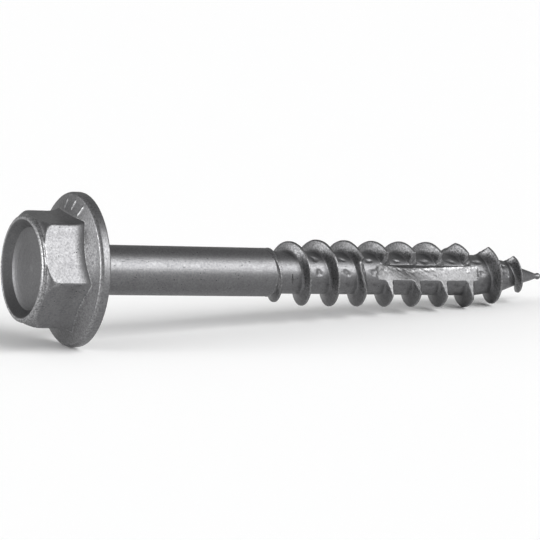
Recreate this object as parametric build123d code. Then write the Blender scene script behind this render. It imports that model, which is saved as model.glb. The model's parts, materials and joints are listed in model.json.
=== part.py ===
from build123d import *
import math
import os

# Hex washer head lag screw, cold forged and roll threaded in one piece. It is drawn along its
# own axis first: station 0 is the bearing face under the flange, stations grow towards the
# point, and angles turn from straight up towards -Y. It is then tipped and set down on the
# floor plane, where it rests on the flange rim and on a thread crest. Lengths are millimetres.

# --- head -----------------------------------------------------------------------------------
hex_flats = 9.5            # across flats, for a 3/8 in wrench
hex_corner_round = 0.35    # radius on the six upright edges
hex_corner_angle = 36.3    # direction of one corner
hex_foot_round = 0.2       # hollow fillet where the hexagon stands on the flange
shoulder_height = 5.2      # top of the hexagon over the bearing face
shoulder_drop = 0.8        # how much lower its rounded shoulder ends at the corners
flange_radius = 6.95
flange_rim = 0.9           # height of the flange's cylindrical edge
flange_rise = 0.24         # climb of its upper face from that edge to the hexagon
flange_edge_round = 0.12
collar_overhang = 0.05     # the raised ring around the cup stands out past the flats
collar_height = 0.35
collar_width = 0.42
collar_edge_round = 0.2
cup_lip = 0.12             # bevel at the mouth of the cup
cup_wall = 0.52            # height and width of its sloping wall
cup_rim_width = 1.0        # curved ring of the floor, from the wall in to the flat middle
cup_dish = 0.22            # how much deeper that middle lies than the foot of the wall

# --- shank, thread and point ----------------------------------------------------------------
screw_length = 50.8        # bearing face to the end of the point
thread_length = 31.4       # end of the plain shank to the end of the point
shank_radius = 2.275
neck_round = 0.25          # fillet under the flange
shank_step = 0.5           # length over which the shank steps down to the core of the thread
core_radius = 2.0
crest_radius = 3.175       # a 1/4 in thread
crest_width = 0.1
flank_width = 0.46         # each flank, along the screw, between crest and core
pitch = 3.12
thread_overlap = 0.93      # the thread starts this far up the shank
thread_start_angle = 7.2
thread_run_in = 1.7        # turns over which the crest climbs out of the shank
thread_stop = 1.88         # the thread ends this far short of the point
ridge_root = 0.5           # depth to which the ridge is rooted in the core
sections_per_turn = 12
point_length = 8.2         # core and crest taper over this length
core_taper = [(1, 1), (0.585, 0.765), (0.378, 0.475)]
crest_taper = [(1, 1), (0.707, 0.863), (0.476, 0.724), (0.329, 0.498), (0.207, 0.157)]
point_neck_radius = 0.26
point_ball_radius = 0.33

# --- cutting slot in the side, and cutting flat across the last turns -------------------------
slot_length = 11.5
slot_run_in = 3.5          # from its head end to where it is deepest
slot_to_point = 0.6        # from its other end to the start of the taper
slot_depth = 0.66          # width of its upper wall where it is deepest
slot_lip_angle = 56.0      # direction of its upper edge on the core
slot_foot_angle = 98.5     # direction of its lower edge on the core
slot_wall_slope = 41.5     # the upper wall climbs from level by this angle
flat_lead = 0.5            # the flat starts this far before the taper
flat_angle = -22.5         # direction that it faces
flat_over_core = 0.38      # its height over the core where it starts
flat_fall = 0.21           # and what it falls with each millimetre towards the point

hex_corner_radius = hex_flats / 2 / math.cos(math.radians(30))
collar_radius = hex_flats / 2 + collar_overhang
shank_end = screw_length - thread_length
thread_start = shank_end - thread_overlap
thread_turns = (screw_length - thread_stop - thread_start) / pitch
taper_start = screw_length - point_length


def spot(station, radius, angle):
    """Point at a station, a distance from the axis and a direction around it."""
    turn = math.radians(angle)
    return Vector(station, -radius * math.sin(turn), radius * math.cos(turn))


def bend(start, corner, end):
    """Arc that rounds a square corner between two (station, radius) points next to it."""
    share = 1 - math.sqrt(0.5)
    middle = [c + share * (a - c + b - c) for a, c, b in zip(start, corner, end)]
    return tuple(middle), end


def turned(*steps):
    """Solid of revolution. Steps are (station, radius) points, or the last two points of an arc."""
    edges = []
    last = None
    for step in steps:
        if isinstance(step[0], tuple):
            middle, end = [Vector(station, 0, radius) for station, radius in step]
            edges.append(Edge.make_three_point_arc(last, middle, end))
        else:
            end = Vector(step[0], 0, step[1])
            if last is not None:
                edges.append(Edge.make_line(last, end))
        last = end
    edges.append(Edge.make_line(last, edges[0] @ 0))
    return Solid.revolve(Face(Wire(edges)), 360, Axis.X)


def make_hexagon():
    """Hexagonal prism whose upper corners are rounded off by a turned shoulder."""
    top = -shoulder_height
    reach = hex_corner_radius + 0.1
    bulge = (top + 0.3 * shoulder_drop, collar_radius + 0.62 * (reach - collar_radius))
    envelope = turned(
        (0, 0), (top, 0), (top, collar_radius),
        (bulge, (top + shoulder_drop, reach)),
        (0, reach),
    )
    outline = RegularPolygon(hex_flats / 2, 6, major_radius=False, rotation=90 + hex_corner_angle)
    outline = fillet(outline.vertices(), hex_corner_round)
    return Plane.YZ * extrude(outline, -2 * shoulder_height) & envelope


def make_flange():
    top = -flange_rim
    edge = flange_edge_round
    side = flange_radius
    return turned(
        (0, 0), (top - flange_rise, 0), (top - flange_rise, hex_flats / 2),
        (top, side - edge),
        bend((top, side - edge), (top, side), (top + edge, side)),
        (-edge, side),
        bend((-edge, side), (0, side), (0, side - edge)),
    )


def make_collar():
    """Raised ring on top of the hexagon, drawn as a disc that the cup then hollows."""
    top = -shoulder_height - collar_height
    side = collar_radius
    edge = collar_edge_round
    buried = -shoulder_height + 0.2
    return turned(
        (buried, 0), (top, 0), (top, side - edge),
        bend((top, side - edge), (top, side), (top + edge, side)),
        (-shoulder_height, side), (buried, side - 0.2),
    )


def make_cup():
    """Room inside the collar: a lip, a sloping wall and a dished floor."""
    top = -shoulder_height - collar_height
    mouth = collar_radius - collar_width
    foot = top + cup_lip + cup_wall
    foot_radius = mouth - cup_lip - cup_wall
    middle_radius = foot_radius - cup_rim_width
    rim_middle = (foot + 0.72 * cup_dish, foot_radius - 0.5 * cup_rim_width)
    return turned(
        (top - 1, 0), (foot + cup_dish, 0), (foot + cup_dish, middle_radius),
        (rim_middle, (foot, foot_radius)),
        (top + cup_lip, mouth - cup_lip), (top, mouth), (top - 1, mouth),
    )


def make_head():
    hexagon = make_hexagon()
    flange = make_flange()
    both = hexagon + flange
    foot = new_edges(hexagon, flange, combined=both)
    both = both.fillet(hex_foot_round, foot)
    return both + make_collar() - make_cup()


def along_taper(steps, full_radius, station):
    """Radius on the point, from (share of the length left, share of the full radius) steps."""
    left = (screw_length - station) / point_length
    if left >= 1:
        return full_radius
    steps = steps + [(0, 0)]
    for (near, near_share), (far, far_share) in zip(steps, steps[1:]):
        if left >= far:
            share = near_share + (far_share - near_share) * (near - left) / (near - far)
            return full_radius * share


def make_core():
    """Shank, core of the thread, and the point with its small ball."""
    ball = point_ball_radius
    ball_station = screw_length - ball
    neck_station = ball_station - math.sqrt(ball ** 2 - point_neck_radius ** 2)
    hip, cone = [
        (screw_length - left * point_length, share * core_radius) for left, share in core_taper[1:]
    ]
    wide = shank_radius + neck_round
    return turned(
        (-flange_rim, 0), (-flange_rim, wide), (0, wide),
        bend((0, wide), (0, shank_radius), (neck_round, shank_radius)),
        (shank_end, shank_radius), (shank_end + shank_step, core_radius),
        (taper_start, core_radius), (hip, cone),
        (neck_station, point_neck_radius), ((ball_station, ball), (screw_length, 0)),
    )


def crest_at(turn):
    """Crest radius after so many turns, with its run-in from the shank and its taper."""
    station = thread_start + pitch * turn
    low = shank_radius - 0.05
    climb = math.sin(min(turn / thread_run_in, 1) * math.pi / 2)
    full = low + (crest_radius - low) * climb
    return along_taper(crest_taper, full, station)


def ridge_section(turn):
    """Outline of the thread ridge after so many turns."""
    station = thread_start + pitch * turn
    crest = crest_at(turn)
    core = along_taper(core_taper, core_radius, station)
    foot = max(min(crest, core) - ridge_root, 0.05)
    half = crest_width / 2
    spread = half + flank_width * (crest - foot) / (crest_radius - core_radius)
    corners = [(-spread, foot), (-half, crest), (half, crest), (spread, foot)]
    angle = thread_start_angle + 360 * turn
    return Wire.make_polygon([spot(station + along, radius, angle) for along, radius in corners])


def make_thread():
    """The ridge in lengths of about one turn, each lofted through its sections."""
    lengths = math.ceil(thread_turns)
    per_length = thread_turns / lengths
    pieces = []
    for start in range(lengths):
        turns = [per_length * (start + i / sections_per_turn) for i in range(sections_per_turn + 1)]
        pieces.append(Solid.make_loft([ridge_section(turn) for turn in turns]))
    return pieces


def make_slot():
    """Cutter for the slot: its corner line sinks from both ends to the deepest station."""
    reach = 2 * crest_radius
    lip = spot(0, core_radius, slot_lip_angle)
    foot = spot(0, core_radius, slot_foot_angle)
    slope = math.radians(slot_wall_slope)
    wall = Vector(0, -math.cos(slope), math.sin(slope))
    floor = (foot - lip + wall * slot_depth).normalized()
    end = taper_start - slot_to_point
    start = end - slot_length
    sections = []
    for station, depth in ((start, 0), (start + slot_run_in, slot_depth), (end, 0)):
        corner = lip - wall * depth + Vector(station, 0, 0)
        sections.append(Wire.make_polygon([corner, corner + wall * reach, corner + floor * reach]))
    return Solid.make_loft(sections, ruled=True)


def make_flat():
    """Wedge that planes off the last turns on one side."""
    start = taper_start - flat_lead
    near = core_radius + flat_over_core
    far = near - flat_fall * (screw_length - start)
    top = 2 * crest_radius
    corners = [(start, near), (screw_length, far), (screw_length, top), (start, top)]
    side = Face(Wire.make_polygon([Vector(station, -top, height) for station, height in corners]))
    wedge = Solid.extrude(side, Vector(0, 2 * top, 0))
    return wedge.rotate(Axis.X, flat_angle)


def make_screw():
    """The whole screw along the X axis."""
    threaded = make_core().fuse(*make_thread())
    return make_head() + (threaded - make_slot() - make_flat())


def laid_down(screw):
    """The screw on the floor, on its flange rim and the last full crest that points down."""
    down = (180 - thread_start_angle) / 360
    full_turns = math.floor((taper_start - thread_start) / pitch - down)
    support = thread_start + pitch * (full_turns + down)
    tilt = math.degrees(math.atan2(flange_radius - crest_radius, support))
    tipped = screw.rotate(Axis.Y, tilt)
    box = tipped.bounding_box()
    bearing = Vector(-box.center().X, -box.center().Y, -box.min.Z)
    print(f"tilt {tilt:.3f} deg, centre of the bearing face at {bearing}")
    return tipped.translate(bearing)


screw = laid_down(make_screw())
print(f"volume {screw.volume:.2f} mm3, solids {len(screw.solids())}, box {screw.bounding_box().size}")
os.makedirs("parts", exist_ok=True)
export_step(screw.solid(), "parts/lag_screw.step")
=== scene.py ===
import bmesh
import bpy
import json
import math
import numpy as np
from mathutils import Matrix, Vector


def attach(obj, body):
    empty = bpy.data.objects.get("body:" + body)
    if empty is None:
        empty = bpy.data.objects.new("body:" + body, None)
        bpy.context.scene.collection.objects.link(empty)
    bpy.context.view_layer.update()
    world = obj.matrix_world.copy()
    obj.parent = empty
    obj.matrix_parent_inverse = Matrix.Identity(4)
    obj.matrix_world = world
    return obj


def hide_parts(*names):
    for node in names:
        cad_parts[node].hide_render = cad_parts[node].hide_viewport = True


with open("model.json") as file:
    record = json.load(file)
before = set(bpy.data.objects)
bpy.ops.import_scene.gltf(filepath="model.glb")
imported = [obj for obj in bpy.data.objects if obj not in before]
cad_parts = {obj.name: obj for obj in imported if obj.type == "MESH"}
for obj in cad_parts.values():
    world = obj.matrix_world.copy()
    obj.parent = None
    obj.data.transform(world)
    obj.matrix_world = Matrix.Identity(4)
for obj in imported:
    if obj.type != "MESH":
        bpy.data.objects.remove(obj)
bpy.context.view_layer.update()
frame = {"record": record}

mm = 0.001

# The screw's own frame: station 0 is the bearing face under the flange, stations grow towards
# the point, and angles turn from straight up towards the side that the slot is in. Both are
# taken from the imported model. Lengths are millimetres until placed() turns them into metres.
seat = next(mount for mount in frame["record"]["mounts"] if mount["name"] == "bearing_face")
seatPoint = Vector(seat["pos_m"])
along = Vector(seat["axis"]).normalized()
beside = Vector((0, 1, 0))
above = along.cross(beside)


def placed(stations, radii, angles):
    stations, radii, turns = np.broadcast_arrays(stations, radii, np.radians(angles))
    points = np.array(seatPoint) + mm * (
        stations[..., None] * np.array(along)
        - (radii * np.sin(turns))[..., None] * np.array(beside)
        + (radii * np.cos(turns))[..., None] * np.array(above)
    )
    return points.reshape(-1, 3)


def softMin(a, b, width):
    share = np.clip(0.5 + 0.5 * (b - a) / width, 0, 1)
    return b + (a - b) * share - width * share * (1 - share)


def softMax(a, b, width):
    return -softMin(-a, -b, width)


def hump(x, centre, halfWidth):
    return np.exp(-((x - centre) / halfWidth) ** 2)


def fade(x, start, end):
    share = np.clip((x - start) / (end - start), 0, 1)
    return share * share * (3 - 2 * share)


def stepped(steps, x):
    places, values = zip(*steps)
    return np.interp(x, places, values)


# Smooth repeatable unevenness over (station, angle), from a few sums of sines.
waveDraw = np.random.default_rng(11)
waves = waveDraw.normal(0, 1, (6, 16, 2))
wavePhases = waveDraw.uniform(0, 2 * math.pi, (6, 16))


def uneven(stations, angles, size, kind):
    # About -1 to 1, changing over `size` millimetres along the surface.
    spot = np.stack(np.broadcast_arrays(stations, np.radians(angles) * 2.4), axis=-1) / size
    return np.sin(spot @ waves[kind].T * 2.2 + wavePhases[kind]).sum(axis=-1) / 4


# What each point of the skin carries for the finish: bare steel, rubbed edges and painted highlights,
# painted shade, turning lines.
markNames = ("cut", "rub", "pit", "turned")


class Skin:
    # Collects rows of points with their marks, and the faces between them.
    def __init__(self):
        self.points = []
        self.marks = []
        self.faces = []
        self.count = 0

    def add(self, points, **marks):
        first = self.count
        self.points.append(points)
        columns = [np.broadcast_to(marks.get(name, 0.0), len(points)) for name in markNames]
        self.marks.append(np.stack(columns, axis=1))
        self.count += len(points)
        return np.arange(first, self.count)

    def join(self, lower, upper):
        # Two closed rows with as many points: a band of quads.
        nextLower, nextUpper = np.roll(lower, -1), np.roll(upper, -1)
        self.faces += np.stack([lower, upper, nextUpper, nextLower], axis=1).tolist()

    def stitch(self, lower, lowerAngles, upper, upperAngles):
        # Two closed rows with different numbers of points, whose angles start alike.
        i = j = 0
        a, b = len(lower), len(upper)
        while i < a or j < b:
            nextI = lowerAngles[i + 1] if i + 1 < a else lowerAngles[0] + 360
            nextJ = upperAngles[j + 1] if j + 1 < b else upperAngles[0] + 360
            if j >= b or (i < a and nextI <= nextJ):
                self.faces.append([int(lower[i % a]), int(upper[j % b]), int(lower[(i + 1) % a])])
                i += 1
            else:
                self.faces.append([int(lower[i % a]), int(upper[j % b]), int(upper[(j + 1) % b])])
                j += 1

    def cap(self, row, point):
        tip = int(self.add(point)[0])
        for here, there in zip(row, np.roll(row, -1)):
            self.faces.append([tip, int(here), int(there)])


skin = Skin()
seamAngle = -79.0      # where rows start and end, on the side away from the slot

# The head: closed rows from the middle of the cup over the hexagon and the flange to the
# bearing face. Steps are (station, radius), from the cup outwards.
head = {
    "flats": 9.5,
    "cornerAngle": 36.3,
    "cornerRound": 0.35,
    "columnsPerFlat": 24,
    "columnsPerCorner": 5,
    "cup": [(-4.52, 0.5), (-4.52, 1.6), (-4.545, 2.3), (-4.61, 3.0), (-4.69, 3.4), (-4.79, 3.7),
            (-5.44, 4.28), (-5.53, 4.37), (-5.55, 4.48), (-5.53, 4.62), (-5.46, 4.74),
            (-5.37, 4.79), (-5.26, 4.82)],
    "cupRounds": [0, 0.6, 0.9, 0.9, 0.9, 0.03, 0.05, 0.05, 0.05, 0.05, 0.05, 0.1, 0],
    "cupSpacing": 0.15,
    "cupShade": 0.6,
    "cupShadeReach": 4.4,          # painted shade fills the cup out to this radius
    "ringFrom": (-5.21, 4.45),
    "ringRub": 0.9,
    "shoulder": [(-5.26, 4.82), (-5.22, 4.835), (-5.17, 4.88), (-5.08, 5.0), (-4.95, 5.15),
                 (-4.78, 5.28), (-4.55, 5.38), (-4.25, 5.45), (-3.95, 5.52), (-3.7, 5.6)],
    "shoulderSpacing": 0.07,
    "topSoftness": 0.07,
    "topEdge": (0.08, 0.5),    # width and rub of the edge between shoulder and flats
    "shoulderRub": 0.45,
    "rubbedTo": -5.05,
    "sideRows": 16,
    "footReach": 1.2,          # along the screw, where the sides curve out to the flange
    "footOut": 0.3,
    "footTurn": 38.0,
    "footShares": [0.14, 0.28, 0.42, 0.56, 0.7, 0.84, 0.98, 1.0],
    "crease": ((0.012, 1.0), (0.07, 0.9)),      # steps out from the foot, and the painted highlight on them
    "flangeSlope": 0.19,       # of its upper face at the rim, growing towards the hexagon
    "flangeBend": 0.1,
    "flangeCone": 2.3,         # the face climbs over this width
    "flangeRim": 0.9,
    "flangeRadius": 6.95,
    "flangeFace": 6.71,        # where its upper face ends in a worn edge
    "faceRows": 16,
    "faceRub": 0.22,
    "edgeRub": 0.6,
    "tickAngles": (-8.0, 7.0, 22.0),
    "tickColumns": (-1.7, -0.9, -0.4, 0.4, 0.9, 1.7),
    "tickReach": (5.55, 6.35),
    "tickWidth": 0.085,
    "tickHeight": 0.07,
    # (down from its upper edge or up from the bearing face, in from the full radius)
    "rimTop": [(0.05, 0.12), (0.12, 0.05), (0.22, 0.01), (0.34, 0), (0.5, 0), (0.66, 0)],
    "rimFoot": [(0.12, 0), (0.05, 0.02), (0, 0.12), (0, 0.55)],
    "rimWorn": 0.15,           # its worn part, under its upper edge
    "rimRub": (0.45, 0.1),     # on that part, and below it
    "underside": (5.6, 4.6, 3.6, 3.0),
}


def headColumns():
    # Directions of the columns: along the flats, round the corners and beside the ticks.
    half = head["flats"] / 2
    flatEnd = (half - head["cornerRound"]) * math.tan(math.radians(30))
    across = np.linspace(-flatEnd, flatEnd, head["columnsPerFlat"])
    onFlat = np.degrees(np.arctan2(across, half))
    corner = np.linspace(onFlat[-1], 60 + onFlat[0], head["columnsPerCorner"] + 2)[1:-1]
    side = np.concatenate([onFlat, corner]) + head["cornerAngle"] - 30
    ticks = np.concatenate([angle + np.array(head["tickColumns"]) for angle in head["tickAngles"]])
    around = np.concatenate([side + 60 * k for k in range(6)] + [ticks])
    return np.unique(np.round((around - seamAngle) % 360, 4)) + seamAngle


def hexRadius(angles):
    half = head["flats"] / 2
    rounding = head["cornerRound"]
    fromCorner = (angles - head["cornerAngle"] + 30) % 60 - 30
    fromMiddle = (angles - head["cornerAngle"]) % 60 - 30
    flat = half / np.cos(np.radians(fromMiddle))
    centre = (half - rounding) / math.cos(math.radians(30))
    turn = np.radians(fromCorner)
    inside = np.clip(rounding ** 2 - (centre * np.sin(turn)) ** 2, 0, None)
    arc = centre * np.cos(turn) + np.sqrt(inside)
    flatEnd = math.atan2((half - rounding) * math.tan(math.radians(30)), half)
    return np.where(np.abs(fromMiddle) > math.degrees(flatEnd), arc, flat)


def roundedPath(corners, rounds, perRound=5):
    # Each corner becomes a short curve.
    path = [np.array(corners[0], float)]
    for i in range(1, len(corners) - 1):
        before, here, after = [np.array(corner, float) for corner in corners[i - 1:i + 2]]
        toBefore = (before - here) / np.linalg.norm(before - here)
        toAfter = (after - here) / np.linalg.norm(after - here)
        half = math.acos(np.clip(toBefore @ toAfter, -1, 1)) / 2
        if not rounds[i]:
            path.append(here)
            continue
        back = rounds[i] / math.tan(half)
        start, end = here + toBefore * back, here + toAfter * back
        for t in np.linspace(0, 1, perRound):
            path.append((1 - t) ** 2 * start + 2 * t * (1 - t) * here + t ** 2 * end)
    path.append(np.array(corners[-1], float))
    return path


def subdivided(path, step):
    out = [path[0]]
    for a, b in zip(path, path[1:]):
        pieces = max(1, math.ceil(np.linalg.norm(b - a) / step))
        out += [a + (b - a) * k / pieces for k in range(1, pieces + 1)]
    return out


def flangeTop(radius):
    inwards = np.clip(head["flangeRadius"] - radius, 0, head["flangeCone"])
    return -head["flangeRim"] - head["flangeSlope"] * inwards - head["flangeBend"] * inwards ** 2


def flangeTicks(radius, angles):
    # Short raised radial ticks, evenly spaced, near the top of the flange.
    near, far = head["tickReach"]
    within = fade(radius, near - 0.1, near + 0.05) * (1 - fade(radius, far - 0.05, far + 0.1))
    ridge = sum(hump(angles * math.pi / 180 * radius, angle * math.pi / 180 * radius, head["tickWidth"])
                for angle in head["tickAngles"])
    return head["tickHeight"] * within * ridge


def buildHead():
    angles = headColumns()
    hexAt = hexRadius(angles)
    rows = []

    def addRow(station, radius, **marks):
        rows.append(skin.add(placed(station, radius, angles), **marks))

    ringStation, ringRadius = head["ringFrom"]
    for station, radius in subdivided(roundedPath(head["cup"], head["cupRounds"]), head["cupSpacing"]):
        rub = head["ringRub"] if station < ringStation and radius > ringRadius else 0.0
        # Painted shade in the cup, out to its reach.
        addRow(station, radius, rub=rub, pit=head["cupShade"] if radius < head["cupShadeReach"] else 0.0)
    shoulder = [np.array(step) for step in head["shoulder"]]
    edgeWidth, edgeRub = head["topEdge"]
    for station, radius in subdivided(shoulder, head["shoulderSpacing"])[1:]:
        around = softMin(hexAt, np.full_like(hexAt, radius), head["topSoftness"])
        edge = edgeRub * hump(hexAt - radius, 0, edgeWidth)
        paleShare = head["shoulderRub"] if station < head["rubbedTo"] else 0.0
        addRow(station, around, rub=np.maximum(edge, paleShare))
    # The sides curve out to the flange and end on it in a crease.
    foot = hexAt + head["footOut"]
    footEnd = flangeTop(foot)
    sideStart = shoulder[-1][0]
    for share in np.linspace(0, 1, head["sideRows"] + 1)[1:]:
        addRow(sideStart + (footEnd - head["footReach"] - sideStart) * share, hexAt)
    footTurn = math.radians(head["footTurn"])
    for turn in footTurn * np.array(head["footShares"]):
        out = head["footOut"] * (1 - math.cos(turn)) / (1 - math.cos(footTurn))
        back = head["footReach"] * (1 - math.sin(turn) / math.sin(footTurn))
        addRow(footEnd - back, hexAt + out)
    # A painted highlight on the flange along the foot of the hexagon.
    for out, rub in head["crease"]:
        addRow(flangeTop(foot + out), foot + out, rub=rub)
    # The flange: its upper face, its rim and its underside.
    start = foot + head["crease"][-1][0]
    face = head["flangeFace"]
    for share in np.linspace(0, 1, head["faceRows"] + 1)[1:]:
        around = start + (face - start) * share
        ticks = flangeTicks(around, angles)
        onTicks = np.clip(ticks / head["tickHeight"], 0, 1)
        rub = head["faceRub"] + onTicks * head["edgeRub"] + (share > 0.99) * head["edgeRub"]
        addRow(flangeTop(around) - ticks, around, rub=rub)
    top, side = -head["flangeRim"], head["flangeRadius"]
    rim = [(flangeTop(face) + 0.03, face + 0.05)]
    rim += [(top + down, side - inwards) for down, inwards in head["rimTop"]]
    rim += [(-up, side - inwards) for up, inwards in head["rimFoot"]]
    for station, radius in rim:
        addRow(station, radius, rub=head["rimRub"][0 if station < top + head["rimWorn"] else 1])
    for radius in head["underside"]:
        addRow(0, radius)
    for lower, upper in zip(rows, rows[1:]):
        skin.join(lower, upper)
    skin.cap(rows[0], placed(head["cup"][0][0], 0, 0))
    print("head:", len(rows), "rows of", len(angles), "points")
    return rows[-1], angles


# The shank, the thread and the point: rows that follow the helix, one turn after another.
thread = {
    "start": 18.47,
    "startAngle": 7.2,
    "pitch": 3.12,
    # (turns, share of the full height) while the crest climbs out of the shank
    "climb": [(0, 0), (0.2, 0.36), (0.48, 0.64), (0.75, 0.75), (1, 0.8), (1.35, 0.93), (1.7, 1)],
    "crest": 3.175,
    "core": 2.0,
    "shank": 2.275,
    "shankEnd": 19.4,
    "length": 50.8,
    "point": 8.2,
    # (share of the point left, share of the full radius)
    "coreTaper": [(0, 0.065), (0.378, 0.475), (0.585, 0.765), (1, 1)],
    "crestTaper": [(0, 0), (0.207, 0.157), (0.329, 0.498), (0.476, 0.724), (0.716, 0.87), (0.84, 1),
                   (1, 1)],
    "crestHalf": 0.05,
    "flank": 0.38,             # on the side of the point
    "headFlank": 0.36,         # on the side of the head
    "rootSoftness": 0.11,
    "crestWaves": 0.012,
    "fold": 0.05,              # depth of the seam rolled along the first crests
    "foldEnd": (2.6, 3.4),     # turns over which it dies away
    "startShift": 0.45,        # the first turns lie this much nearer the point, dying away
    "shiftTurns": 1.5,
    "offsets": [0, 0.05, 0.1, 0.19, 0.29, 0.39, 0.48, 0.57, 0.67, 0.77, 0.87, 0.97, 1.07, 1.17,
                1.27, 1.37, 1.47],              # rows either side of the crest
    "firstTurn": -1,
    "lastTurn": 9,
    "neckRound": 0.25,         # under the flange
    "neckFlare": 0.325,
    "neckLength": 0.6,
    "shankRows": 29,
    # steps of the cone's end and its bead, (back from the end, radius)
    "bead": [(0.62, 0.26), (0.5, 0.27), (0.38, 0.32), (0.25, 0.33), (0.12, 0.27), (0.03, 0.14)],
}


def threadColumns():
    # Directions of the columns, closest where the slot is.
    around = np.concatenate([
        np.arange(15, 45, 1.6), np.arange(45, 112, 1.0), np.arange(112, 140, 1.6),
        np.linspace(140, 375, 68)[:-1],
    ])
    return np.sort((around - seamAngle) % 360) + seamAngle


# The shank steps down to the core of the thread.
shankStep = {
    "wander": 0.05,            # its edge isn't quite true
    "fall": (0.02, 0.2),       # where it falls to the core, past the end of the shank
    # height, place past the end of the shank, and half width
    "lip": (0.035, -0.03, 0.09),
    "groove": (0.07, 0.32, 0.14),
}


def coreRadius(stations, angles):
    left = (thread["length"] - stations) / thread["point"]
    tapered = thread["core"] * stepped(thread["coreTaper"], np.clip(left, 0, 1))
    end = thread["shankEnd"] + shankStep["wander"] * uneven(stations, angles, 3.0, 0)
    fallFrom, fallTo = shankStep["fall"]
    step = fade(stations, end + fallFrom, end + fallTo)
    lipHeight, lipPlace, lipHalf = shankStep["lip"]
    lip = lipHeight * hump(stations, end + lipPlace, lipHalf)
    grooveDepth, groovePlace, grooveHalf = shankStep["groove"]
    groove = grooveDepth * hump(stations, end + groovePlace, grooveHalf)
    return tapered + (thread["shank"] - thread["core"]) * (1 - step) + lip - groove


def crestRadius(turns):
    stations = thread["start"] + thread["pitch"] * turns
    low = thread["shank"] - 0.05
    climb = stepped(thread["climb"], turns)
    left = (thread["length"] - stations) / thread["point"]
    full = low + (thread["crest"] - low) * climb
    return full * stepped(thread["crestTaper"], np.clip(left, 0, 1))


# Dents that the rolling dies leave in the root.
rootMarks = {
    "perTurn": 10,             # in each turn of the root
    "firstAngle": 43.0,
    "middle": 1.55,            # from the crest before them, along the screw
    "halfLength": 0.5,
    "halfWidth": 0.36,
    "depth": 0.1,
    "firstTurn": 0.7,
    "darkening": 0.8,
}


def markDepth(angles, offsets, turns):
    # Shallow dents in the middle of the root, no two quite alike, with painted shade in their middles.
    groove = np.where(offsets < 0, turns - 1, turns)
    away = np.where(offsets < 0, offsets + thread["pitch"], offsets) - rootMarks["middle"]
    step = 360 / rootMarks["perTurn"]
    number = np.round((angles - rootMarks["firstAngle"]) / step)
    across = np.radians(angles - rootMarks["firstAngle"] - number * step) * thread["core"]
    # Chance, the same in each run, for the size, place and lean of every dent.
    luck = [np.modf(np.abs(np.sin(number * p + np.round(groove) * q)) * 43.7)[0]
            for p, q in ((12.9, 4.7), (7.3, 9.1), (3.1, 5.3), (8.7, 2.9))]
    lean = 1.3 * (luck[0] - 0.5)
    x = (away - 0.16 * (luck[1] - 0.5)) / (rootMarks["halfLength"] * (0.7 + 0.5 * luck[2]))
    y = (across - 0.1 * (luck[3] - 0.5)) / (rootMarks["halfWidth"] * (0.7 + 0.4 * luck[1]))
    ragged = 0.12 * uneven(away + 7 * number, angles, 0.3, 4)
    reach = np.hypot(x + lean * y, y - 0.25 * lean * x) + ragged
    second = np.hypot(x - 0.9 * np.cos(luck[3] * 9), y - 0.8 * np.sin(luck[3] * 9)) / 0.6
    pocket = 1 - fade(reach, 0.15, 1.1) + 0.3 * (1 - fade(second + ragged, 0.2, 1.1))
    shown = fade(groove, rootMarks["firstTurn"], rootMarks["firstTurn"] + 0.1)
    deep = np.where(number % 10 < 2, 1.0, 0.5) * (0.65 + 0.35 * luck[0])
    # Painted shade in the middle of each dent.
    darkening = rootMarks["darkening"] * (1 - fade(reach, 0.1, 0.9)) * luck[2]
    return shown * deep * rootMarks["depth"] * pocket, shown * darkening


# The cutting slot in the side of the last turns.
slot = {
    "end": 42.0,
    "length": 11.5,
    "runIn": 3.5,
    "depth": 0.66,
    "lipAngle": 56.0,
    "footAngle": 98.5,
    "wallSlope": 41.5,
    "edgeWander": 0.35,        # degrees
    "depthWander": 0.015,
    "overCrests": 2.8,         # it already nicks the crests this far ahead of its start
    "lipLead": 0.7,            # how fast it leaves the core there, at its lip and at its foot
    "footLead": 1.0,
    "tornSlope": 71.0,         # it tears the strands off more steeply than it cuts the core
    "tornTo": 75.0,            # and only up to this angle
    "tornEnds": (0.2, 0.8),    # the tears start and stop this far inside its length
    "tornWander": (0.1, 0.06),
    "burr": 0.12,
    "burrReach": 0.1,
}


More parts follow.
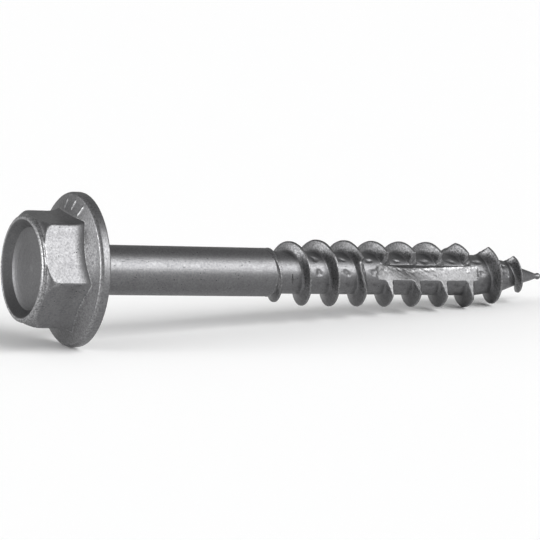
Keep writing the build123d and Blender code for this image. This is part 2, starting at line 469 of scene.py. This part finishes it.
def cutBySlot(stations, angles):
    # Radius at which a ray at this angle meets the slot, whether it meets its upper wall
    # first, and how far from the corner line that is.
    ragged = slot["edgeWander"] * uneven(stations, angles, 0.5, 1)
    lipTurn = np.radians(slot["lipAngle"] + 0.6 * ragged)
    footTurn = np.radians(slot["footAngle"] + ragged)
    core = thread["core"]
    lip = core * np.stack([-np.sin(lipTurn), np.cos(lipTurn)], axis=-1)
    foot = np.stack([-np.sin(footTurn), np.cos(footTurn)], axis=-1)
    slope = math.radians(slot["wallSlope"])
    wall = np.array([-math.cos(slope), math.sin(slope)])
    begin = slot["end"] - slot["length"]
    runIn, deepest = slot["runIn"], slot["depth"]
    depth = np.interp(stations, [begin - runIn, begin + runIn, slot["end"]], [-deepest, deepest, 0])
    depth = depth + slot["depthWander"] * uneven(stations, angles, 0.35, 2)
    ahead = np.clip(-depth, 0, None)[..., None]
    corner = lip * (1 + slot["lipLead"] * ahead) - np.clip(depth, 0, None)[..., None] * wall
    foot = foot * core * (1 + slot["footLead"] * ahead)
    floor = foot - corner
    floor /= np.linalg.norm(floor, axis=-1, keepdims=True)
    turn = np.radians(angles)
    ray = np.stack([-np.sin(turn), np.cos(turn)], axis=-1)
    # ray * radius = corner + onWall * wall + onFloor * floor
    area = wall[0] * floor[..., 1] - wall[1] * floor[..., 0]
    wallGrowth = (ray[..., 0] * floor[..., 1] - ray[..., 1] * floor[..., 0]) / area
    wallStart = (corner[..., 0] * floor[..., 1] - corner[..., 1] * floor[..., 0]) / area
    floorGrowth = (wall[0] * ray[..., 1] - wall[1] * ray[..., 0]) / area
    floorStart = (wall[0] * corner[..., 1] - wall[1] * corner[..., 0]) / area
    into = (wallGrowth > 1e-6) & (floorGrowth > 1e-6)
    meetsFloor = wallStart / np.where(into, wallGrowth, 1)
    meetsWall = floorStart / np.where(into, floorGrowth, 1)
    entry = np.maximum(meetsFloor, meetsWall)
    fromCorner = floorGrowth * entry - floorStart
    inReach = into & (stations >= begin - slot["overCrests"]) & (stations <= slot["end"])
    return np.where(inReach, entry, 99.0), meetsWall > meetsFloor, fromCorner


def tornStrands(stations, angles):
    # The steep ragged faces where the slot tears through the strands.
    lipTurn, slope = math.radians(slot["lipAngle"]), math.radians(slot["tornSlope"])
    lip = (thread["core"] * math.sin(lipTurn), thread["core"] * math.cos(lipTurn))
    rise = (math.cos(slope), math.sin(slope))
    facing = np.sin(np.radians(angles)) * rise[1] - np.cos(np.radians(angles)) * rise[0]
    face = (lip[0] * rise[1] - lip[1] * rise[0]) / np.where(facing > 0.2, facing, 1)
    fromStart, beforeEnd = slot["tornEnds"]
    begin, end = slot["end"] - slot["length"] + fromStart, slot["end"] - beforeEnd
    inReach = (facing > 0.2) & (angles < slot["tornTo"]) & (stations > begin) & (stations < end)
    coarse, fine = slot["tornWander"]
    ragged = coarse * uneven(stations, angles, 0.3, 5) + fine * uneven(stations, angles, 0.13, 1)
    return np.where(inReach, face + ragged, 99.0)


# The flat across the last turns, on the far side from the slot.
flat = {
    "angle": -40.0,
    # (station, height over the axis)
    "heights": [(39.0, 3.2), (40.1, 2.46), (43.5, 1.6), (46.6, 1.0), (50.8, 0.6)],
    "end": 48.2,
}


def cutByFlat(stations, angles):
    facing = np.cos(np.radians(angles - flat["angle"]))
    height = stepped(flat["heights"], stations)
    reach = (stations >= flat["heights"][0][0]) & (stations <= flat["end"]) & (facing > 0.2)
    return np.where(reach, height / np.where(facing > 0.2, facing, 1), 99.0)


# Rubbed edges, a painted highlight on the upper head-side flanks, and bare steel on the thread.
wear = {
    "crestWidth": 0.1,         # the rub along the crest
    "crestRub": (0.55, 0.45),  # everywhere, and in patches
    "flankHighlight": 0.65,          # a painted highlight on the side of the head
    "flankHighlightEnd": (100, 150),                  # angles over which it dies away
    "lipRub": (0.08, 0.14),    # place and half width of the slot's rubbed lip
    "shankRub": (0.8, 0.06),   # on the edge of the shank, and its half width
    "tornSteel": 0.5,
    "flatSteel": 0.3,
    "turnedFrom": (43.3, 44.3),                 # stations over which the turning lines come up
}


def threadSurface(stations, angles, offsets, turns):
    # Radius and marks of a row, `offsets` from the crest along the screw.
    dent, darkening = markDepth(angles, offsets, turns)
    core = coreRadius(stations, angles) - dent
    waves = thread["crestWaves"] * uneven(stations, angles, 0.7, 2)
    crest = crestRadius(turns) - thread["crestWaves"] - waves
    fold = thread["fold"] * hump(offsets, 0, 0.03) * (1 - fade(turns, *thread["foldEnd"]))
    onHeadSide = offsets < 0
    flank = np.where(onHeadSide, thread["headFlank"], thread["flank"])
    away = np.clip(np.abs(offsets) - thread["crestHalf"], 0, None) / flank
    ridge = crest - fold - away * (thread["crest"] - thread["core"])
    radius = softMax(core, np.where(turns > 0, ridge, 0), thread["rootSoftness"])
    raised = np.clip((radius - core) / 0.3, 0, 1)
    entry, onWall, fromCorner = cutBySlot(stations, angles)
    torn = tornStrands(stations, angles)
    # Metal pushed up beside the tear.
    chips = 0.5 + 0.5 * uneven(stations, angles, 0.22, 3)
    close = np.exp(-np.clip(torn - radius, 0, 9) / slot["burrReach"])
    burr = raised * close * np.clip(chips - 0.35, 0, 1) * (torn > radius)
    radius = radius + slot["burr"] * burr
    isTorn = (torn < radius) & (raised > 0.03)
    radius = np.where(isTorn, np.maximum(torn, core), radius)
    planed = cutByFlat(stations, angles)
    cutTo = np.minimum(entry, planed)
    isCut = cutTo < radius
    inSlot = isCut & (entry <= planed)
    # Rubbed edges, and a painted highlight on the head-side flanks that face up.
    evenly, patchy = wear["crestRub"]
    patches = evenly + patchy * uneven(stations, angles, 0.6, 4)
    rub = np.clip(1 - np.abs(offsets) / wear["crestWidth"], 0, 1) * (turns > 0) * patches
    # The head-side flanks get a painted highlight where they face up, fading out towards the bottom.
    facingUp = 1 - fade(angles, *wear["flankHighlightEnd"])
    rub = np.maximum(rub, wear["flankHighlight"] * raised * onHeadSide * facingUp)
    rub = np.where(inSlot, ~onWall * hump(fromCorner, *wear["lipRub"]), rub)
    rub = np.where(isTorn, np.clip(1.8 * chips - 0.9, 0, 1), rub)
    edgeRub, edgeHalf = wear["shankRub"]
    edge = edgeRub * hump(stations, thread["shankEnd"] - 0.02, edgeHalf) * (turns < 0.6)
    rub = np.clip(np.maximum(rub, edge), 0, 1)
    # Bare steel, and painted shade in the root dents and on the torn faces where it isn't cut.
    onSteel = np.where(isCut, wear["flatSteel"], np.clip(1.6 * burr, 0, 1))
    onSteel = np.where(inSlot, 1.0, np.where(isTorn, wear["tornSteel"], onSteel))
    # Patchy painted shade on the torn faces.
    tornShade = np.clip(0.3 + 0.9 * uneven(stations, angles, 0.25, 0), 0, 1)
    darkening = np.where(isCut, 0, np.where(isTorn, tornShade, darkening * (1 - raised)))
    shaped = {"cut": onSteel, "rub": rub, "pit": darkening, "turned": fade(stations, *wear["turnedFrom"])}
    return np.where(isCut, cutTo, radius), shaped


def buildThread(headRow, headAngles):
    angles = threadColumns()
    pitch = thread["pitch"]
    half = thread["offsets"]
    offsets = np.array([-x for x in half[:0:-1]] + half)
    perTurn = len(offsets)
    # Neck and plain shank, as flat rows.
    shank, neckEnd = thread["shank"], thread["neckLength"]
    neck = [(0, shank + thread["neckFlare"]), (0, shank), (neckEnd, shank)]
    neck = roundedPath(neck, [0, thread["neckRound"], 0])
    rows = [skin.add(placed(station, radius, angles)) for station, radius in neck]
    skin.stitch(headRow, headAngles, rows[0], angles)
    rowStart = (angles[0] - thread["startAngle"]) / 360
    firstStation = thread["start"] + pitch * (rowStart + thread["firstTurn"]) + offsets[0]
    for station in np.linspace(neckEnd, firstStation - 0.3, thread["shankRows"] + 1)[1:]:
        rows.append(skin.add(placed(station, shank, angles)))
    for lower, upper in zip(rows, rows[1:]):
        skin.join(lower, upper)
    # Helical rows: the end of one row runs on into the row one pitch further.
    turnsCount = thread["lastTurn"] - thread["firstTurn"]
    rowCount = turnsCount * perTurn + int(np.searchsorted(offsets, 0.6))
    rowOffset = np.tile(offsets, turnsCount + 2)
    rowTurn = np.repeat(np.arange(thread["firstTurn"], thread["lastTurn"] + 2), perTurn)
    grid = []
    for i in range(rowCount + perTurn):
        at = angles if i < rowCount else angles[:1]
        turns = (at - thread["startAngle"]) / 360 + rowTurn[i]
        shift = thread["startShift"] * np.exp(-np.clip(turns, -1, None) / thread["shiftTurns"])
        shift = shift * fade(turns, -0.6, 0.3)
        stations = thread["start"] + pitch * turns + rowOffset[i] + shift
        radii, rowMarks = threadSurface(stations, at, np.full_like(stations, rowOffset[i]), turns)
        grid.append(skin.add(placed(stations, radii, at), **rowMarks))
    for i in range(rowCount - 1):
        here = np.append(grid[i], grid[i + perTurn][0])
        there = np.append(grid[i + 1], grid[i + 1 + perTurn][0])
        skin.faces += np.stack([here[:-1], there[:-1], there[1:], here[1:]], axis=1).tolist()
    # From the last flat row to the first helical one, with a fan along its seam.
    last, first = rows[-1].tolist(), grid[0].tolist()
    for j in range(len(angles) - 1):
        skin.faces.append([last[j], first[j], first[j + 1], last[j + 1]])
    skin.faces.append([last[-1], first[-1], last[0]])
    seam = [last[0]] + [int(grid[k][0]) for k in range(perTurn + 1)]
    for a, b in zip(seam, seam[1:]):
        skin.faces.append([a, first[-1], b])
    # From the last helical row to flat rows on the point, and the bead at its end.
    end = thread["length"]
    lastRow = rowCount - 1 + perTurn
    lastStation = thread["start"] + pitch * (rowStart + rowTurn[lastRow]) + rowOffset[lastRow]
    coneStation = lastStation + 0.02
    tip = [(coneStation, coreRadius(np.array([coneStation]), 0.0)[0])]
    tip += [(end - back, radius) for back, radius in thread["bead"]]
    tipRows = [skin.add(placed(station, radius, angles), turned=1.0) for station, radius in tip]
    top, ring = grid[rowCount - 1].tolist(), tipRows[0].tolist()
    seam = [int(grid[rowCount - 1 + k][0]) for k in range(perTurn + 1)] + [ring[0]]
    for a, b in zip(seam, seam[1:]):
        skin.faces.append([a, b, top[1]])
    skin.faces.append([ring[0], ring[1], top[1]])
    for j in range(1, len(angles) - 1):
        skin.faces.append([top[j], ring[j], ring[j + 1], top[j + 1]])
    skin.faces.append([top[-1], ring[-1], ring[0], int(grid[lastRow][0])])
    for lower, upper in zip(tipRows, tipRows[1:]):
        skin.join(lower, upper)
    skin.cap(tipRows[-1], placed(end, 0, 0))
    print("thread:", rowCount, "rows of", len(angles), "points")


headRow, headAngles = buildHead()
buildThread(headRow, headAngles)

mesh = bpy.data.meshes.new("lagScrew")
mesh.from_pydata(np.concatenate(skin.points).tolist(), [], skin.faces)
mesh.validate()
work = bmesh.new()
work.from_mesh(mesh)
bmesh.ops.recalc_face_normals(work, faces=work.faces)
print("open edges:", sum(1 for edge in work.edges if not edge.is_manifold))
work.to_mesh(mesh)
work.free()
mesh.update()
allMarks = np.concatenate(skin.marks).astype(np.float32)
for number, name in enumerate(markNames):
    layer = mesh.attributes.new(name, "FLOAT", "POINT")
    layer.data.foreach_set("value", np.ascontiguousarray(allMarks[:, number]))
for polygon in mesh.polygons:
    polygon.use_smooth = True
screw = bpy.data.objects.new("lagScrew", mesh)
bpy.context.scene.collection.objects.link(screw)
triangles = sum(len(polygon.vertices) - 2 for polygon in mesh.polygons)
print("screw:", len(mesh.vertices), "points,", triangles, "triangles")

# The finish: a grey zinc coat with pits, scratches, painted shade and painted highlights, bare steel
# where it is cut.
finish = {
    "coat": (0.156, 0.156, 0.16, 1),
    "coatDark": (0.13, 0.13, 0.134, 1),
    "coatPale": (0.184, 0.184, 0.188, 1),
    # A dark tone for pits, scratches and painted shade.
    "darkening": (0.03, 0.03, 0.031, 1),
    # A pale tone for rubbed edges and painted highlights.
    "rubbed": (0.34, 0.34, 0.345, 1),
    "steel": (0.165, 0.165, 0.168, 1),
    "steelDark": (0.118, 0.118, 0.12, 1),
    "roughness": 0.42,
    "duller": 0.05,            # added where the coat is dark, and taken off where it is pale
    "glossier": 0.04,
    "grain": 5.4,              # speckles to the millimetre
    "mottle": 0.9,
    "pits": 2.3,               # cells to the millimetre that may hold a pit
    "pitSize": (0.07, 0.17),
    "pitShare": (0.15, 0.8),   # of the cells, where they are rarest and thickest
    "scratchTurn": (0.3, 0.2, 0.7),
    "scratchScale": (1.5, 6.5, 6.5),
    "scratchCut": (0.69, 0.76),                 # higher for fewer
    "scratchDirt": 0.55,
    # How dark the painted shade from the marks is.
    "paintedShadeStrength": 0.7,
    "pitAndShadeStrength": 0.8,
    "steelGrain": 5.5,
    "relief": 0.01,            # height of the grain, in millimetres
    "pitRelief": 0.6,          # and of the rest, as shares of it
    "steelRelief": 0.5,
    "lineRelief": 0.3,
    "lineSpacing": 0.42,       # of the turning lines
}


class Paint:
    # A material and short ways to wire its nodes.
    def __init__(self, name):
        self.material = bpy.data.materials.new(name)
        self.material.use_nodes = True
        self.tree = self.material.node_tree
        self.shader = self.tree.nodes["Principled BSDF"]

    def node(self, kind, inputs, output=0, **settings):
        made = self.tree.nodes.new("ShaderNode" + kind)
        for name, value in settings.items():
            setattr(made, name, value)
        for socket, value in inputs.items():
            self.feed(made.inputs[socket], value)
        return made.outputs[output]

    def feed(self, socket, value):
        if isinstance(value, bpy.types.NodeSocket):
            self.tree.links.new(value, socket)
        else:
            socket.default_value = value

    def noise(self, spot, scale, detail=3.0, roughness=0.6):
        inputs = {"Vector": spot, "Scale": scale, "Detail": detail, "Roughness": roughness}
        return self.node("TexNoise", inputs)

    def ramp(self, value, low, high, toLow=0.0, toHigh=1.0):
        inputs = {"Value": value, "From Min": low, "From Max": high, "To Min": toLow, "To Max": toHigh}
        return self.node("MapRange", inputs)

    def math(self, operation, a, b):
        return self.node("Math", {0: a, 1: b}, operation=operation)

    def blend(self, factor, a, b):
        return self.node("Mix", {0: factor, 6: a, 7: b}, output=2, data_type="RGBA")

    def mark(self, name):
        return self.node("Attribute", {}, output=2, attribute_name=name)


def zincFinish():
    paint = Paint("zincCoatedSteel")
    here = paint.node("TexCoord", {}, output=3)
    # Millimetres along and across the screw.
    tilt = math.atan2(-along.z, along.x)
    inputs = {"Vector": here, "Rotation": (0, -tilt, 0), "Scale": (1 / mm, 1 / mm, 1 / mm)}
    spot = paint.node("Mapping", inputs)
    cut, rub, pit, turned = [paint.mark(name) for name in markNames]

    grain = paint.noise(spot, finish["grain"], 2.5, 0.65)
    mottle = paint.noise(spot, finish["mottle"], 4.0, 0.6)
    tone = paint.math("ADD", paint.math("MULTIPLY", grain, 0.72), paint.math("MULTIPLY", mottle, 0.28))
    color = paint.blend(paint.ramp(tone, 0.34, 0.5), finish["coatDark"], finish["coat"])
    color = paint.blend(paint.ramp(tone, 0.5, 0.66), color, finish["coatPale"])

    # Pits: small dark dots, thicker in some places than in others.
    cells = paint.node("TexVoronoi", {"Vector": spot, "Scale": finish["pits"]}, output=0)
    chance = paint.node("TexVoronoi", {"Vector": spot, "Scale": finish["pits"]}, output=1)
    share = paint.node("SeparateColor", {"Color": chance}, output=0)
    thick = paint.ramp(mottle, 0.38, 0.62, *finish["pitShare"])
    present = paint.math("LESS_THAN", share, thick)
    dots = paint.math("MULTIPLY", paint.ramp(cells, *finish["pitSize"], 1.0, 0.0), present)
    # Scratches: thin slanted dashes.
    inputs = {"Vector": spot, "Rotation": finish["scratchTurn"], "Scale": finish["scratchScale"]}
    slanted = paint.node("Mapping", inputs)
    dashes = paint.ramp(paint.noise(slanted, 1.0, 1.0, 0.5), *finish["scratchCut"])
    pitsAndShade = paint.math("MAXIMUM", dots, paint.math("MULTIPLY", dashes, finish["scratchDirt"]))
    # Painted shade from the marks: in the cup, the root dents and on the torn faces.
    pitsAndShade = paint.math("MAXIMUM", pitsAndShade, paint.math("MULTIPLY", pit, finish["paintedShadeStrength"]))
    color = paint.blend(paint.math("MULTIPLY", pitsAndShade, finish["pitAndShadeStrength"]), color, finish["darkening"])

    # Bare cut steel in the slot and on the flat, edges rubbed pale, and painted highlights on the upper
    # head-side flanks and along the foot of the hexagon.
    torn = paint.noise(spot, finish["steelGrain"], 3.0, 0.7)
    steel = paint.blend(paint.ramp(torn, 0.36, 0.64), finish["steelDark"], finish["steel"])
    color = paint.blend(cut, color, steel)
    paleShare = paint.math("MULTIPLY", rub, paint.ramp(grain, 0.38, 0.6))
    color = paint.blend(paleShare, color, finish["rubbed"])
    paint.feed(paint.shader.inputs["Base Color"], color)

    dull, glossy = finish["roughness"] + finish["duller"], finish["roughness"] - finish["glossier"]
    paint.feed(paint.shader.inputs["Roughness"], paint.ramp(tone, 0.35, 0.65, dull, glossy))
    paint.shader.inputs["Metallic"].default_value = 1

    # Relief: grain, pits and torn steel, plus fine turning lines on the cone.
    height = paint.math("SUBTRACT", grain, paint.math("MULTIPLY", pitsAndShade, finish["pitRelief"]))
    tears = paint.math("MULTIPLY", torn, finish["steelRelief"])
    height = paint.math("ADD", height, paint.math("MULTIPLY", cut, tears))
    axial = paint.node("SeparateXYZ", {"Vector": spot}, output=0)
    phase = paint.math("MULTIPLY", axial, 2 * math.pi / finish["lineSpacing"])
    lines = paint.math("MULTIPLY", paint.math("SINE", phase, 0.0), finish["lineRelief"])
    height = paint.math("ADD", height, paint.math("MULTIPLY", turned, lines))
    relief = {"Height": height, "Strength": 1.0, "Distance": finish["relief"] * mm}
    paint.feed(paint.shader.inputs["Normal"], paint.node("Bump", relief))
    return paint.material


mesh.materials.append(zincFinish())
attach(screw, "root")
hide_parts("lag_screw")
print("finish: zinc coat")

# The floor, the lamps and the camera. Lamps shine from these directions, with their light
# spread over these degrees. The camera aims from the bearing face, in millimetres.
studio = {
    "floorSize": 6.0,
    "floorColor": (0.93, 0.93, 0.93, 1),
    "world": 0.39,
}
lamps = {
    "key": {"toward": (0.36, -0.79, 0.5), "spread": 46.0, "radiance": 6.7},
    "side": {"toward": (-0.96, 0.15, 0.12), "spread": 36.0, "radiance": 7.4},
    "back": {"toward": (-0.88, 0.42, 0.1), "spread": 36.0, "radiance": 3.4},
}
camera = {
    "lens": 155.0,
    "heading": 29.07,          # degrees from straight at the side with the slot
    "elevation": 8.99,
    "distance": 208.19,
    "right": 17.19,
    "up": -0.05,
}

half = studio["floorSize"] / 2
floorMesh = bpy.data.meshes.new("floor")
floorCorners = [(-half, -half, 0), (half, -half, 0), (half, half, 0), (-half, half, 0)]
floorMesh.from_pydata(floorCorners, [], [(0, 1, 2, 3)])
floor = bpy.data.objects.new("floor", floorMesh)
bpy.context.scene.collection.objects.link(floor)
floorPaint = Paint("paleFloor")
floorPaint.shader.inputs["Base Color"].default_value = studio["floorColor"]
floorPaint.shader.inputs["Roughness"].default_value = 0.9
floorPaint.shader.inputs["Specular IOR Level"].default_value = 0.0
floorMesh.materials.append(floorPaint.material)

world = bpy.data.worlds.new("studio")
world.use_nodes = True
world.node_tree.nodes["Background"].inputs["Color"].default_value = (1, 1, 1, 1)
world.node_tree.nodes["Background"].inputs["Strength"].default_value = studio["world"]
bpy.context.scene.world = world


def addLamp(name, lamp):
    data = bpy.data.lights.new(name, "SUN")
    data.angle = math.radians(lamp["spread"])
    data.energy = lamp["radiance"] * 2 * math.pi * (1 - math.cos(data.angle / 2))
    piece = bpy.data.objects.new(name, data)
    piece.rotation_euler = Vector(lamp["toward"]).to_track_quat("Z", "Y").to_euler()
    bpy.context.scene.collection.objects.link(piece)


for name, lamp in lamps.items():
    addLamp(name, lamp)

heading = math.radians(camera["heading"])
elevation = math.radians(camera["elevation"])
forward = Vector((math.sin(heading) * math.cos(elevation), math.cos(heading) * math.cos(elevation),
                  -math.sin(elevation)))
right = forward.cross(Vector((0, 0, 1))).normalized()
up = right.cross(forward)
cameraData = bpy.data.cameras.new("camera")
cameraData.lens = camera["lens"]
cameraData.sensor_width = 36
cameraData.clip_start = 0.01
cameraData.clip_end = 20
cameraPiece = bpy.data.objects.new("camera", cameraData)
aim = seatPoint + mm * (camera["right"] * right + camera["up"] * up)
cameraPiece.location = aim - forward * camera["distance"] * mm
cameraPiece.rotation_euler = (-forward).to_track_quat("Z", "Y").to_euler()
bpy.context.scene.collection.objects.link(cameraPiece)
bpy.context.scene.camera = cameraPiece
bpy.context.scene.view_settings.view_transform = "Standard"
print("studio: floor, three lamps and the camera")
